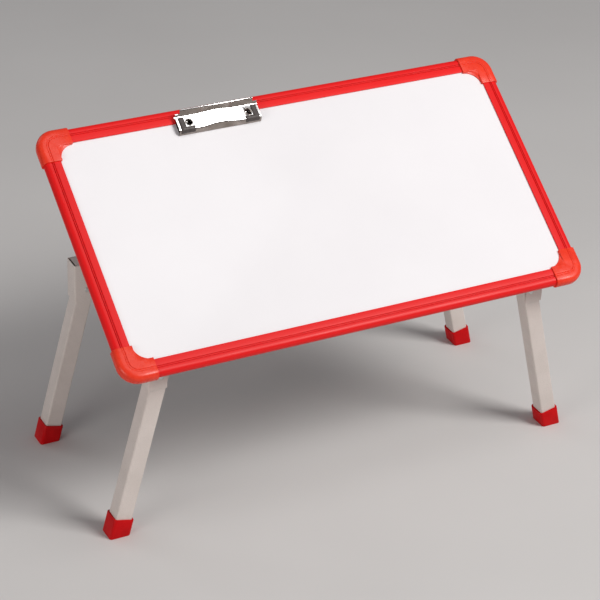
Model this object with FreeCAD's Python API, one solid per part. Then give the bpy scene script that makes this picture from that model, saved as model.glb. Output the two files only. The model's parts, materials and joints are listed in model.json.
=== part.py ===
import FreeCAD, Part
import math
import os

# Portable drawing board: a framed whiteboard hinged on a low base frame with four folding legs.
# Millimetres. +X runs along the board, +Y away from the writer, +Z up, floor at z = 0.
# The origin lies on the floor, under the centre of the whole object.

V = FreeCAD.Vector

# ---- writing board ----
WHITE_LENGTH = 540.2        # visible writing face along X
WHITE_WIDTH = 271.0         # visible writing face up the slope
BOARD_TILT = 35.0           # degrees from horizontal, as it stands
LAMINATE = 0.8              # white sheet
CORE = 2.6                  # hardboard core
BACKING = 0.6               # grey sheet under the core
PANEL_GRIP = 7.6            # panel edge held inside the frame profile

# ---- frame profile ----
PROFILE_WIDTH = 19.1        # from the white edge to the outside
PROFILE_RISE = 1.6          # proud of the white face
PROFILE_DEPTH = 12.0        # whole height of the profile
PROFILE_WALL = 1.2
PROFILE_STEP = 0.4          # rounding of the inner lip
LOWER_LIP = 5.0             # lip that grips the panel from below
GROOVE_PLACE = 8.2          # decorative bead, from the white edge
GROOVE_WIDTH = 0.9
GROOVE_DEPTH = 0.8
BEAD_WIDTH = 1.0            # ridge between the two grooves

# ---- moulded corner caps ----
CAP_WALL = 1.8
CAP_ARM = 20.0              # reach from the white corner along each side
CAP_OVERLAP = 14.5          # length of profile inside the cap
CAP_OUTER_RADIUS = 22.8     # in plan
CAP_WEB = 1.2               # thin web over the white corner
CAP_ROUNDING = 6.5
SCREW_RADIUS = 1.3
SCREW_LENGTH = 4.5
SCREW_HEAD_RADIUS = 2.8
SCREW_HEAD = 1.5
SCREW_INSET = 7.0           # from the open end of the cap

# ---- base frame ----
RAIL_TOP = 230.0            # height above the floor
RAIL_HEIGHT = 20.0
RAIL_PITCH = 208.7          # front rail to rear rail
BASE_LENGTH = 500.0         # over the outer faces of the leg brackets
RAIL_WALL = 1.2
RAIL_END_GAP = 1.8          # slot between a rail's end and the bracket web
BRACKET_WALL = 1.2
BRACKET_WIDTH = 22.0
CROSS_SPAN = 250.0          # between the slotted webs of the cross members
CROSS_HEIGHT = 18.0
CROSS_FLANGE = 15.0
CROSS_WALL = 1.5
CROSS_DROP = 1.0            # below the rail top

# ---- legs ----
LEG_SIZE = 20.0             # square tube
LEG_WALL = 1.2
LEG_ROUNDING = 2.0
LEG_SIDE_GAP = 0.5          # leg to bracket flange
LEG_HEAD = 6.0              # tube beyond the pivot
LEG_SPLAY = 14.0            # degrees, outward
LEG_STOP_GAP = 0.3          # leg to the edge of the bracket web
PIVOT_INSET = 15.5          # from the bracket's outer face
PIVOT_DROP = 33.0           # below the rail top
RIVET_RADIUS = 2.0
RIVET_HEAD_RADIUS = 3.2
RIVET_HEAD = 1.3
FOOT_WALL = 2.0
FOOT_SOLE = 3.0
FOOT_HEIGHT = 22.0
FOOT_ROUNDING = 3.2

# ---- hinges between the board and the front rail ----
HINGE_PLACE = 8.0           # hinge line up the slope from the white edge
HINGE_LENGTH = 50.0
HINGE_OFFSET = 170.0        # hinge centre from the middle
HINGE_SEGMENTS = 5
HINGE_SLIT = 0.4
KNUCKLE_RADIUS = 2.5
LEAF = 1.0
LEAF_WIDTH = 16.0
PIN_RADIUS = 1.1
BODY_GAP = 0.3              # between pieces that move past each other
RUNNING_FIT = 0.05          # radial clearance on a pin
LEAF_RIVET_RADIUS = 1.5
LEAF_RIVET_DEPTH = 2.4
LEAF_RIVET_SPAN = 32.0
LEAF_RIVET_PLACE = 10.4     # from the hinge line
FLUSH_HEAD_RADIUS = 2.4
DOMED_HEAD_RADIUS = 2.55
DOMED_HEAD = 1.05

# ---- prop that holds the board up ----
FOOT_BAR_MARGIN = 14.7      # from the foot bar to the rear rail, with the board flat
PROP_DROP = 7.0             # prop pivot below the panel
FOOT_BAR_DROP = 6.0         # foot bar below the hinge line
FOOT_BAR_RADIUS = 3.0
FOOT_BAR_END = 6.0          # bar beyond the slotted web
PROP_ARM_WIDTH = 10.0
PROP_ARM = 3.0
PROP_ARM_INSET = 10.0       # from the slotted web
PROP_PIN_RADIUS = 2.0
PROP_PIN_HEAD_RADIUS = 3.2
PROP_PIN_HEAD = 1.07
PROP_EAR = 1.5
PROP_PLATE = 1.2
PROP_PLATE_LENGTH = 34.0
PROP_RIVET_SPAN = 24.5
SLOT_PLAY = 0.6             # above and below the bar
DETENT_TILTS = (35.0, 27.0, 18.0, 9.0)
DETENT_DEPTH = 0.9
RETAINER_RADIUS = 4.4
RETAINER = 2.0

# ---- paper clip ----
CLIP_CENTRE = -75.1         # along X
CLIP_LENGTH = 102.0
CLIP_SHEET = 0.8
CLIP_BASE_SHEET = 0.6
CLIP_BASE_FRONT = 12.0      # from the white edge, down the slope
CLIP_BASE_REAR = 8.0        # beyond the white edge, over the frame
CLIP_PIN_PLACE = 3.5        # beyond the white edge
CLIP_PIN_RADIUS = 1.0
CLIP_EAR_RADIUS = 1.9
CLIP_EAR = 0.8
CLIP_JAW_FRONT = 15.2       # jaw edge, down the slope from the white edge
CLIP_JAW_RUN = 2.4          # slope length of the curved front
CLIP_JAW_BEND = 2.6
CLIP_LIP_REAR = 9.2
CLIP_LIP_RUN = 4.2
CLIP_LIP_INSET = 5.6        # lip shorter than the jaw at each end
CLIP_TAB_RISE = 2.8         # low stretch of the lip that stays beside its full height
CLIP_LIP_BEND = 2.0
CLIP_LIP_HEIGHT = 13.8
CLIP_BASE_BEND = 0.33
CLIP_BEAD_RADIUS = 0.8
CLIP_RIVET_SPAN = 73.6
CLIP_RIVET_PLACE = 4.0      # down the slope from the white edge
CLIP_RIVET_RADIUS = 1.5
CLIP_RIVET_HEAD_RADIUS = 2.3
CLIP_RIVET_HEAD = 1.5
CLIP_RIVET_TAIL = 0.75
CLIP_WINDOW_RADIUS = 4.0
SPRING_WIRE = 0.3           # radius
SPRING_LENGTH = 9.8
SPRING_PITCH = 0.7
GRIP_LENGTH = 18.5
GRIP_DEPTH = 6.4
GRIP_ARM_WIDTH = 6.2
GRIP_END_GAP = 1.2          # from the end of the jaw
GRIP_ARM_STEP = 1.6         # arm's outer edge inside the foot's
GRIP_PROUD = 0.35

# ---- places worked out from the sizes above ----
PANEL = LAMINATE + CORE + BACKING
PROFILE_BOTTOM = PROFILE_RISE - PROFILE_DEPTH
KNUCKLE_REACH = KNUCKLE_RADIUS + BODY_GAP
RAIL_DEPTH = LEG_SIZE + 2 * LEG_SIDE_GAP
HINGE_BELOW = PANEL + KNUCKLE_REACH
HINGE_HEIGHT = RAIL_TOP - (KNUCKLE_REACH - LEAF) + BODY_GAP
TILT = math.radians(BOARD_TILT)
SPLAY = math.radians(LEG_SPLAY)
HALF_BASE = BASE_LENGTH / 2
HALF_WHITE = WHITE_LENGTH / 2


def board_point(along, above):
    """Y and Z, from the hinge line, of a point up the slope and above the white face."""
    run = along - HINGE_PLACE
    rise = above + HINGE_BELOW
    return (run * math.cos(TILT) - rise * math.sin(TILT),
            run * math.sin(TILT) + rise * math.cos(TILT))


# The object's front is the front corner caps, its back is the heads of the rear leg rivets.
ROUNDING_ALONG = PROFILE_WIDTH + CAP_WALL - CAP_ROUNDING
ROUNDING_ABOVE = PROFILE_RISE + CAP_WALL - CAP_ROUNDING
FRONT_REACH = board_point(-ROUNDING_ALONG, ROUNDING_ABOVE)[0] - CAP_ROUNDING
REAR_REACH = KNUCKLE_REACH + RAIL_PITCH + RAIL_DEPTH + BRACKET_WALL + RIVET_HEAD
HINGE_Y = -(FRONT_REACH + REAR_REACH) / 2
FRONT_RAIL_Y = HINGE_Y + KNUCKLE_REACH
REAR_RAIL_Y = FRONT_RAIL_Y + RAIL_PITCH
PIVOT_X = HALF_BASE - PIVOT_INSET
PIVOT_Z = RAIL_TOP - PIVOT_DROP
STOP_DROP = ((PIVOT_INSET - BRACKET_WALL) * math.cos(SPLAY) - LEG_SIZE / 2 - LEG_STOP_GAP) / math.sin(SPLAY)
BRACKET_BOTTOM = PIVOT_Z - STOP_DROP
RAIL_HALF = HALF_BASE - BRACKET_WALL - RAIL_END_GAP

# The prop: its arm length and angle keep the foot bar at one height at both ends of the travel.
PROP_PLACE = (RAIL_PITCH - FOOT_BAR_MARGIN) / 2     # pivot from the hinge line, up the slope
PIVOT_BELOW_HINGE = PROP_DROP + PANEL - HINGE_BELOW
CRANK = math.hypot(PROP_PLACE, PIVOT_BELOW_HINGE)
CRANK_DIP = math.atan2(PIVOT_BELOW_HINGE, PROP_PLACE)
CRANK_UP = TILT - CRANK_DIP
FALL_UP = CRANK * math.sin(CRANK_UP) + FOOT_BAR_DROP
FALL_FLAT = FOOT_BAR_DROP - PIVOT_BELOW_HINGE
ARM_ALONG = (FALL_UP * math.cos(CRANK_DIP) - FALL_FLAT * math.cos(CRANK_UP)) / math.sin(TILT)
ARM_ACROSS = (FALL_FLAT * math.sin(CRANK_UP) + FALL_UP * math.sin(CRANK_DIP)) / math.sin(TILT)
ARM_LENGTH = math.hypot(ARM_ALONG, ARM_ACROSS)
ARM_LEAD = math.atan2(ARM_ACROSS, ARM_ALONG)
CROSS_WEB = CROSS_SPAN / 2
ARM_X = CROSS_WEB - PROP_ARM_INSET
FOOT_BAR_Z = HINGE_HEIGHT - FOOT_BAR_DROP


def foot_bar_y(tilt):
    """Y of the foot bar when the board stands at the tilt, in radians."""
    crank = tilt - CRANK_DIP
    return HINGE_Y + CRANK * math.cos(crank) + ARM_LENGTH * math.cos(crank + ARM_LEAD)


# ---- helpers ----
def block(x, y, z):
    """Box from three (low, high) pairs."""
    return Part.makeBox(x[1] - x[0], y[1] - y[0], z[1] - z[0], V(x[0], y[0], z[0]))


def rod(start, end, radius):
    """Cylinder between two points."""
    line = V(*end) - V(*start)
    return Part.makeCylinder(radius, line.Length, V(*start), line)


def dome(centre, axis, radius, height):
    """Rivet head: a spherical cap with its flat side at the centre point."""
    ball_radius = (radius ** 2 + height ** 2) / (2 * height)
    half_angle = math.asin(radius / ball_radius)
    across = V(radius, 0, 0)
    rise = height - ball_radius
    shoulder = V(ball_radius * math.sin(half_angle / 2), 0, rise + ball_radius * math.cos(half_angle / 2))
    top = V(0, 0, height)
    edges = [Part.LineSegment(V(0, 0, 0), across).toShape(), Part.Arc(across, shoulder, top).toShape(),
             Part.LineSegment(top, V(0, 0, 0)).toShape()]
    head = Part.Face(Part.Wire(edges)).revolve(V(0, 0, 0), V(0, 0, 1), 360)
    head.Placement = FreeCAD.Placement(V(*centre), FreeCAD.Rotation(V(0, 0, 1), V(*axis)))
    return head


def fused(shapes):
    joined = shapes[0]
    for shape in shapes[1:]:
        joined = joined.fuse(shape)
    return joined.removeSplitter()


def cut(shape, tools):
    for tool in tools:
        shape = shape.cut(tool)
    return shape


def mirrored(shape):
    return shape.mirror(V(0, 0, 0), V(1, 0, 0))


def pair(shape):
    """A shape on the right, and its mirror image on the left."""
    return [shape, mirrored(shape)]


def on_board(shape):
    """Move a shape drawn flat (X, up the slope, above the white face) to the tilted board."""
    placed = shape.copy()
    placed.translate(V(0, -HINGE_PLACE, HINGE_BELOW))
    placed.rotate(V(0, 0, 0), V(1, 0, 0), BOARD_TILT)
    placed.translate(V(0, HINGE_Y, HINGE_HEIGHT))
    return placed


def square_bar(side, rounding, z):
    """Square bar on the Z axis with rounded edges."""
    bar = block((-side / 2, side / 2), (-side / 2, side / 2), z)
    upright = [edge for edge in bar.Edges if abs(edge.tangentAt(edge.FirstParameter).z) > 0.5]
    return bar.makeFillet(rounding, upright)


def bent_sheet(points, radii, thickness, x):
    """Sheet that follows a centre line in the Y-Z plane, bent to a radius at each inner point."""
    line = [V(0, y, z) for y, z in points]
    runs = [(line[i + 1] - line[i]).normalize() for i in range(len(line) - 1)]
    sides = []
    for offset in (thickness / 2, -thickness / 2):
        normals = [V(0, -run.z, run.y) * offset for run in runs]
        edges = []
        start = line[0] + normals[0]
        for i, radius in enumerate(radii):
            turn = runs[i].getAngle(runs[i + 1])
            back = radius * math.tan(turn / 2)
            first = line[i + 1] - runs[i] * back + normals[i]
            last = line[i + 1] + runs[i + 1] * back + normals[i + 1]
            inward = (runs[i + 1] - runs[i]).normalize()
            centre = line[i + 1] + inward * (radius / math.cos(turn / 2))
            middle_normal = (normals[i] + normals[i + 1]).normalize() * abs(offset)
            middle = centre - inward * radius + middle_normal
            edges.append(Part.LineSegment(start, first).toShape())
            edges.append(Part.Arc(first, middle, last).toShape())
            start = last
        end = line[-1] + normals[-1]
        edges.append(Part.LineSegment(start, end).toShape())
        sides.append((line[0] + normals[0], edges, end))
    ends = [Part.LineSegment(sides[0][i], sides[1][i]).toShape() for i in (0, 2)]
    outline = Part.Wire(Part.__sortEdges__(sides[0][1] + sides[1][1] + ends))
    sheet = Part.Face(outline).extrude(V(x[1] - x[0], 0, 0))
    sheet.translate(V(x[0], 0, 0))
    return sheet


# ---- writing board ----
def panel_layer(top, thickness, holes):
    half = HALF_WHITE + PANEL_GRIP
    layer = block((-half, half), (-PANEL_GRIP, WHITE_WIDTH + PANEL_GRIP), (top - thickness, top))
    return on_board(cut(layer, holes))


def profile_outline():
    """Outer outline of the frame profile: outward from the white edge in X, height in Z."""
    low = PROFILE_BOTTOM
    radius = PROFILE_DEPTH / 2
    flat = PROFILE_WIDTH - radius
    middle = PROFILE_RISE - radius
    web = PANEL_GRIP + PROFILE_WALL
    lip = PANEL_GRIP - LOWER_LIP
    corners = [V(web, 0, low), V(web, 0, -PANEL - PROFILE_WALL), V(lip, 0, -PANEL - PROFILE_WALL),
               V(lip, 0, -PANEL), V(PANEL_GRIP, 0, -PANEL), V(PANEL_GRIP, 0, 0), V(0, 0, 0),
               V(0, 0, PROFILE_RISE - PROFILE_STEP), V(PROFILE_STEP, 0, PROFILE_RISE),
               V(flat, 0, PROFILE_RISE)]
    edges = [Part.LineSegment(a, b).toShape() for a, b in zip(corners, corners[1:])]
    edges.append(Part.Arc(corners[-1], V(PROFILE_WIDTH, 0, middle), V(flat, 0, low)).toShape())
    edges.append(Part.LineSegment(V(flat, 0, low), corners[0]).toShape())
    return Part.Face(Part.Wire(edges))


def profile_chamber():
    """Closed hollow of the profile."""
    radius = PROFILE_DEPTH / 2 - PROFILE_WALL
    flat = PROFILE_WIDTH - PROFILE_DEPTH / 2
    high = PROFILE_RISE - PROFILE_WALL - GROOVE_DEPTH
    low = PROFILE_BOTTOM + PROFILE_WALL
    web = PANEL_GRIP + 2 * PROFILE_WALL
    edges = [Part.LineSegment(V(flat, 0, low), V(web, 0, low)).toShape(),
             Part.LineSegment(V(web, 0, low), V(web, 0, high)).toShape(),
             Part.LineSegment(V(web, 0, high), V(flat, 0, high)).toShape(),
             Part.Arc(V(flat, 0, high), V(flat + radius, 0, (high + low) / 2), V(flat, 0, low)).toShape()]
    return Part.Face(Part.Wire(edges))


def profile_groove(number):
    near = GROOVE_PLACE + number * (GROOVE_WIDTH + BEAD_WIDTH)
    top = [V(near, 0, PROFILE_RISE), V(near + GROOVE_WIDTH, 0, PROFILE_RISE)]
    root = V(near + GROOVE_WIDTH / 2, 0, PROFILE_RISE - GROOVE_DEPTH)
    return Part.Face(Part.makePolygon([top[0], root, top[1], top[0]]))


def profile_bar(half_length, hollow):
    """Length of profile centred on Y = 0, with the white edge at X = 0."""
    length = V(0, 2 * half_length, 0)
    bar = profile_outline().extrude(length)
    if hollow:
        bar = cut(bar, [profile_chamber().extrude(length)])
        bar = cut(bar, [profile_groove(number).extrude(length) for number in (0, 1)])
    bar.translate(V(0, -half_length, 0))
    return bar


def side_bar(side, hollow):
    """Profile of one side of the frame, in the flat drawing of the board."""
    inside = CAP_ARM - CAP_OVERLAP
    along_x = side in ("front", "rear")
    half_length = (HALF_WHITE if along_x else WHITE_WIDTH / 2) - inside
    bar = profile_bar(half_length, hollow)
    angle, place = {"right": (0, V(HALF_WHITE, WHITE_WIDTH / 2, 0)),
                    "rear": (90, V(0, WHITE_WIDTH, 0)),
                    "left": (180, V(-HALF_WHITE, WHITE_WIDTH / 2, 0)),
                    "front": (270, V(0, 0, 0))}[side]
    bar.rotate(V(0, 0, 0), V(0, 0, 1), angle)
    bar.translate(place)
    return bar


def cap_blank():
    """Solid elbow at the rear right corner: white corner at X = 0, Y = 0, outward is positive."""
    out = PROFILE_WIDTH + CAP_WALL
    heights = (PROFILE_BOTTOM - CAP_WALL, PROFILE_RISE + CAP_WALL)
    square = block((-CAP_ARM, out), (-CAP_ARM, out), heights)
    corner = [edge for edge in square.Edges
              if edge.BoundBox.XMin > out - CAP_WALL and edge.BoundBox.YMin > out - CAP_WALL]
    square = square.makeFillet(CAP_OUTER_RADIUS, corner)
    square = square.makeFillet(CAP_ROUNDING, [edge for edge in square.Edges if is_outer_rim(edge, out)])
    inner = (-CAP_ARM, -CAP_WALL)
    over = block(inner, inner, (CAP_WEB, heights[1]))
    lip = (-CAP_ARM, PANEL_GRIP - LOWER_LIP)
    under = block(lip, lip, (heights[0], -PANEL))
    bay = Part.makeCylinder(CAP_ARM - CAP_WALL, CAP_WEB, V(-CAP_ARM, -CAP_ARM, 0))
    panel = block((-CAP_ARM, PANEL_GRIP), (-CAP_ARM, PANEL_GRIP), (-PANEL, 0))
    return cut(square, [over, under, bay, panel])


def is_outer_rim(edge, out):
    """The long upper and lower edges round the outside of the elbow."""
    box = edge.BoundBox
    level = box.ZLength < CAP_WALL
    outside = box.XMin > 0 or box.YMin > 0
    return level and outside and (box.XMax > out - CAP_WALL or box.YMax > out - CAP_WALL)


def cap_groove():
    """Shallow line that carries the profile's bead around the elbow."""
    top = PROFILE_RISE + CAP_WALL
    near = GROOVE_PLACE
    far = near + GROOVE_WIDTH
    heights = (top - GROOVE_DEPTH / 2, top)
    ring = Part.makeCylinder(far, GROOVE_DEPTH / 2, V(0, 0, heights[0]))
    ring = ring.cut(Part.makeCylinder(near, GROOVE_DEPTH / 2, V(0, 0, heights[0])))
    quarter = ring.common(block((0, far), (0, far), heights))
    along = (-CAP_ARM, 0)
    return [quarter, block(along, (near, far), heights), block((near, far), along, heights)]


def screw_places():
    """Two screws under each cap, one in each profile, for the rear right corner."""
    across = PROFILE_WIDTH - PROFILE_DEPTH / 2 - SCREW_HEAD_RADIUS
    along = -CAP_ARM + SCREW_INSET
    return [(across, along), (along, across)]


def cap_screw(place):
    low = PROFILE_BOTTOM - CAP_WALL
    shank = rod((*place, low), (*place, low + SCREW_LENGTH), SCREW_RADIUS)
    head = dome((*place, low), (0, 0, -1), SCREW_HEAD_RADIUS, SCREW_HEAD)
    return fused([shank, head])


def to_corner(shape, right, rear):
    """Move a shape drawn at the rear right corner to one of the four corners."""
    placed = shape.copy()
    if not right:
        placed = mirrored(placed)
    if not rear:
        placed = placed.mirror(V(0, 0, 0), V(0, 1, 0))
    placed.translate(V(HALF_WHITE if right else -HALF_WHITE, WHITE_WIDTH if rear else 0, 0))
    return placed


CORNERS = {"front_left": (False, False), "front_right": (True, False),
           "rear_left": (False, True), "rear_right": (True, True)}


def corner_screws(corner):
    return [to_corner(cap_screw(place), *CORNERS[corner]) for place in screw_places()]


def corner_cap(corner):
    cap = to_corner(cut(cap_blank(), cap_groove()), *CORNERS[corner])
    side_x = "right" if CORNERS[corner][0] else "left"
    side_y = "rear" if CORNERS[corner][1] else "front"
    tools = [side_bar(side_x, False), side_bar(side_y, False)] + corner_screws(corner)
    return on_board(cut(cap, tools))


def frame_side(side):
    screws = [screw for corner in CORNERS for screw in corner_screws(corner)]
    return on_board(cut(side_bar(side, True), screws))


# ---- paper clip, drawn flat on the board ----
CLIP_HALF = CLIP_LENGTH / 2
CLIP_PIN = (WHITE_WIDTH + CLIP_PIN_PLACE, PROFILE_RISE + CLIP_BASE_SHEET + BODY_GAP + CLIP_EAR_RADIUS)
JAW_UNDER = CLIP_PIN[1] + CLIP_EAR_RADIUS + BODY_GAP
JAW_MIDDLE = JAW_UNDER + CLIP_SHEET / 2


def clip_x(low, high):
    return (CLIP_CENTRE + low, CLIP_CENTRE + high)


def clip_rivet(side):
    x = CLIP_CENTRE + side * CLIP_RIVET_SPAN / 2
    y = WHITE_WIDTH - CLIP_RIVET_PLACE
    shank = rod((x, y, -PANEL), (x, y, CLIP_BASE_SHEET), CLIP_RIVET_RADIUS)
    upper = dome((x, y, CLIP_BASE_SHEET), (0, 0, 1), CLIP_RIVET_HEAD_RADIUS, CLIP_RIVET_HEAD)
    lower = dome((x, y, -PANEL), (0, 0, -1), CLIP_RIVET_HEAD_RADIUS, CLIP_RIVET_TAIL)
    return fused([shank, upper, lower])


def clip_rivets():
    return [clip_rivet(side) for side in (-1, 1)]


def clip_ears(inset, upright):
    """End ears around the hinge pin, standing up from the base or hanging from the jaw."""
    outer = CLIP_HALF - inset
    level = (PROFILE_RISE, CLIP_PIN[1]) if upright else (CLIP_PIN[1], JAW_MIDDLE)
    ears = []
    for side in (-1, 1):
        x = clip_x(*sorted((side * (outer - CLIP_EAR), side * outer)))
        web = block(x, (CLIP_PIN[0] - CLIP_EAR_RADIUS, CLIP_PIN[0] + CLIP_EAR_RADIUS), level)
        ears.append(fused([web, rod((x[0], *CLIP_PIN), (x[1], *CLIP_PIN), CLIP_EAR_RADIUS)]))
    return ears


def clip_pin_rod(radius):
    reach = CLIP_HALF - CLIP_EAR
    return rod((CLIP_CENTRE - reach, *CLIP_PIN), (CLIP_CENTRE + reach, *CLIP_PIN), radius)


def clip_base():
    step = WHITE_WIDTH - BODY_GAP - CLIP_BASE_SHEET / 2
    low = CLIP_BASE_SHEET / 2
    high = PROFILE_RISE + CLIP_BASE_SHEET / 2
    path = [(WHITE_WIDTH - CLIP_BASE_FRONT, low), (step, low),
            (step, high), (WHITE_WIDTH + CLIP_BASE_REAR, high)]
    reach = CLIP_HALF - CLIP_EAR
    plate = bent_sheet(path, [CLIP_BASE_BEND, CLIP_BASE_BEND], CLIP_BASE_SHEET, clip_x(-reach, reach))
    whole = fused([plate] + clip_ears(CLIP_EAR, True))
    return on_board(cut(whole, clip_rivets() + [clip_pin_rod(CLIP_PIN_RADIUS)]))


def jaw_sheet(thickness, x):
    front = WHITE_WIDTH - CLIP_JAW_FRONT
    rear = WHITE_WIDTH + CLIP_LIP_REAR
    path = [(front, BODY_GAP + CLIP_SHEET / 2), (front + CLIP_JAW_RUN, JAW_MIDDLE),
            (rear - CLIP_LIP_RUN, JAW_MIDDLE), (rear, CLIP_LIP_HEIGHT)]
    return bent_sheet(path, [CLIP_JAW_BEND, CLIP_LIP_BEND], thickness, x)


def grip_zone(side):
    """L-shaped plan of one rubber grip, at the front corner of the jaw."""
    front = WHITE_WIDTH - CLIP_JAW_FRONT - CLIP_SHEET
    high = (0, CLIP_LIP_HEIGHT)
    near = CLIP_HALF - GRIP_END_GAP
    foot_x = clip_x(*sorted((side * near, side * (near - GRIP_LENGTH))))
    near -= GRIP_ARM_STEP
    arm_x = clip_x(*sorted((side * near, side * (near - GRIP_ARM_WIDTH))))
    foot = block(foot_x, (front, front + GRIP_DEPTH), high)
    arm = block(arm_x, (front, WHITE_WIDTH + CLIP_PIN_PLACE), high)
    return fused([foot, arm])


def clip_grip(side):
    thick = CLIP_SHEET + 2 * GRIP_PROUD
    return jaw_sheet(thick, clip_x(-CLIP_HALF, CLIP_HALF)).common(grip_zone(side))


def clip_grips():
    grips = [clip_grip(side) for side in (-1, 1)]
    lift = block(clip_x(-CLIP_HALF, CLIP_HALF), (0, WHITE_WIDTH), (0, BODY_GAP))
    ears = [rod((CLIP_CENTRE - CLIP_HALF, *CLIP_PIN), (CLIP_CENTRE + CLIP_HALF, *CLIP_PIN),
                CLIP_EAR_RADIUS + BODY_GAP / 2)]
    return on_board(Part.Compound([cut(grip, [lift] + ears) for grip in grips]))


def lip_ends():
    """Space at the two ends of the rear lip, over its low tabs."""
    start = WHITE_WIDTH + CLIP_LIP_REAR - CLIP_LIP_RUN
    deep = (start, start + 3 * CLIP_LIP_RUN)
    high = (JAW_MIDDLE + CLIP_TAB_RISE, 2 * CLIP_LIP_HEIGHT)
    near = CLIP_HALF - CLIP_LIP_INSET
    far = CLIP_HALF + CLIP_LIP_INSET
    return [block(clip_x(*sorted((side * near, side * far))), deep, high) for side in (-1, 1)]


def clip_jaw():
    span = clip_x(-CLIP_HALF, CLIP_HALF)
    sheet = jaw_sheet(CLIP_SHEET, span)
    lip = (WHITE_WIDTH + CLIP_LIP_REAR, CLIP_LIP_HEIGHT)
    bead = rod((span[0], *lip), (span[1], *lip), CLIP_BEAD_RADIUS)
    curved = cut(fused([sheet, bead]), lip_ends())
    ears = clip_ears(2 * CLIP_EAR + BODY_GAP, False)
    windows = []
    for side in (-1, 1):
        x = CLIP_CENTRE + side * CLIP_RIVET_SPAN / 2
        y = WHITE_WIDTH - CLIP_RIVET_PLACE
        low = JAW_UNDER - CLIP_SHEET
        windows.append(rod((x, y, low), (x, y, low + 3 * CLIP_SHEET), CLIP_WINDOW_RADIUS))
    whole = fused([cut(curved, [clip_grip(side) for side in (-1, 1)] + windows)] + ears)
    return on_board(cut(whole, [clip_pin_rod(CLIP_PIN_RADIUS + RUNNING_FIT)]))


def clip_spring():
    """Two torsion coils on the pin, each with a leg lying along the base plate."""
    coil_radius = CLIP_EAR_RADIUS - SPRING_WIRE
    coils = []
    for side in (-1, 1):
        helix = Part.makeHelix(SPRING_PITCH, SPRING_LENGTH, coil_radius)
        section = Part.Wire(Part.makeCircle(SPRING_WIRE, V(coil_radius, 0, 0), V(0, 1, 0)))
        coil = Part.Wire(helix).makePipeShell([section], True, True)
        coil.rotate(V(0, 0, 0), V(0, 1, 0), 90)
        coil.translate(V(CLIP_CENTRE + side * CLIP_HALF / 2 - SPRING_LENGTH / 2, *CLIP_PIN))
        low = CLIP_PIN[1] - coil_radius
        start = coil.BoundBox.XMin + SPRING_WIRE
        leg = rod((start, CLIP_PIN[0], low), (start, CLIP_PIN[0] + 2 * coil_radius, low), SPRING_WIRE)
        coils.append(fused([coil, leg]))
    return on_board(Part.Compound(coils))


# ---- hinges ----
def hinge_segment(number):
    """X range of one knuckle of the right-hand hinge."""
    step = HINGE_LENGTH / HINGE_SEGMENTS
    start = HINGE_OFFSET - HINGE_LENGTH / 2 + number * step
    low = start + (HINGE_SLIT / 2 if number else 0)
    high = start + step - (HINGE_SLIT / 2 if number < HINGE_SEGMENTS - 1 else 0)
    return (low, high)


def hinge_leaf(flat_leaf, keep, bore, clear):
    """Leaf and its knuckles, round the X axis; the leaf is cut away beside the other knuckles."""
    knuckles = [rod((low, 0, 0), (high, 0, 0), KNUCKLE_RADIUS)
                for low, high in [hinge_segment(number) for number in keep]]
    leaf = flat_leaf
    for number in range(HINGE_SEGMENTS):
        if number not in keep:
            low, high = hinge_segment(number)
            leaf = leaf.cut(block((low - HINGE_SLIT, high + HINGE_SLIT), *clear))
    whole = fused([leaf] + knuckles)
    middle = HINGE_LENGTH
    return whole.cut(rod((HINGE_OFFSET - middle, 0, 0), (HINGE_OFFSET + middle, 0, 0), bore))


HINGE_X = (HINGE_OFFSET - HINGE_LENGTH / 2, HINGE_OFFSET + HINGE_LENGTH / 2)
LEAF_RIVET_OFFSETS = (-LEAF_RIVET_SPAN / 2, LEAF_RIVET_SPAN / 2)


def at_hinge(shape, tilted):
    placed = shape.copy()
    if tilted:
        placed.rotate(V(0, 0, 0), V(1, 0, 0), BOARD_TILT)
    placed.translate(V(0, HINGE_Y, HINGE_HEIGHT))
    return placed


def board_leaf_rivet(offset):
    """Flush rivet through the board leaf into the panel."""
    x = HINGE_OFFSET + offset
    y = LEAF_RIVET_PLACE
    low = KNUCKLE_REACH - LEAF
    head = Part.makeCone(FLUSH_HEAD_RADIUS, LEAF_RIVET_RADIUS, LEAF, V(x, y, low), V(0, 0, 1))
    shank = rod((x, y, low), (x, y, low + LEAF + LEAF_RIVET_DEPTH), LEAF_RIVET_RADIUS)
    return at_hinge(fused([head, shank]), True)


def rail_leaf_rivet(offset):
    """Domed rivet through the rail leaf and the rail's front wall."""
    x = HINGE_OFFSET + offset
    z = -LEAF_RIVET_PLACE
    near = KNUCKLE_REACH - LEAF
    shank = rod((x, near, z), (x, near + LEAF + LEAF_RIVET_DEPTH, z), LEAF_RIVET_RADIUS)
    head = dome((x, near, z), (0, -1, 0), DOMED_HEAD_RADIUS, DOMED_HEAD)
    return at_hinge(fused([shank, head]), False)


def board_leaf_rivets():
    return [rivet for offset in LEAF_RIVET_OFFSETS for rivet in pair(board_leaf_rivet(offset))]


def rail_leaf_rivets():
    return [rivet for offset in LEAF_RIVET_OFFSETS for rivet in pair(rail_leaf_rivet(offset))]


def hinge_board_leaves():
    flat = block(HINGE_X, (0, LEAF_WIDTH), (KNUCKLE_REACH - LEAF, KNUCKLE_REACH))
    clear = ((-KNUCKLE_REACH, KNUCKLE_REACH), (0, 2 * KNUCKLE_REACH))
    leaf = at_hinge(hinge_leaf(flat, (0, 2, 4), PIN_RADIUS, clear), True)
    return Part.Compound([cut(one, board_leaf_rivets()) for one in pair(leaf)])


def hinge_rail_leaves():
    flat = block(HINGE_X, (KNUCKLE_REACH - LEAF, KNUCKLE_REACH), (-LEAF_WIDTH, 0))
    clear = ((0, 2 * KNUCKLE_REACH), (-KNUCKLE_REACH, KNUCKLE_REACH))
    leaf = at_hinge(hinge_leaf(flat, (1, 3), PIN_RADIUS + RUNNING_FIT, clear), False)
    return Part.Compound([cut(one, rail_leaf_rivets()) for one in pair(leaf)])


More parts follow.
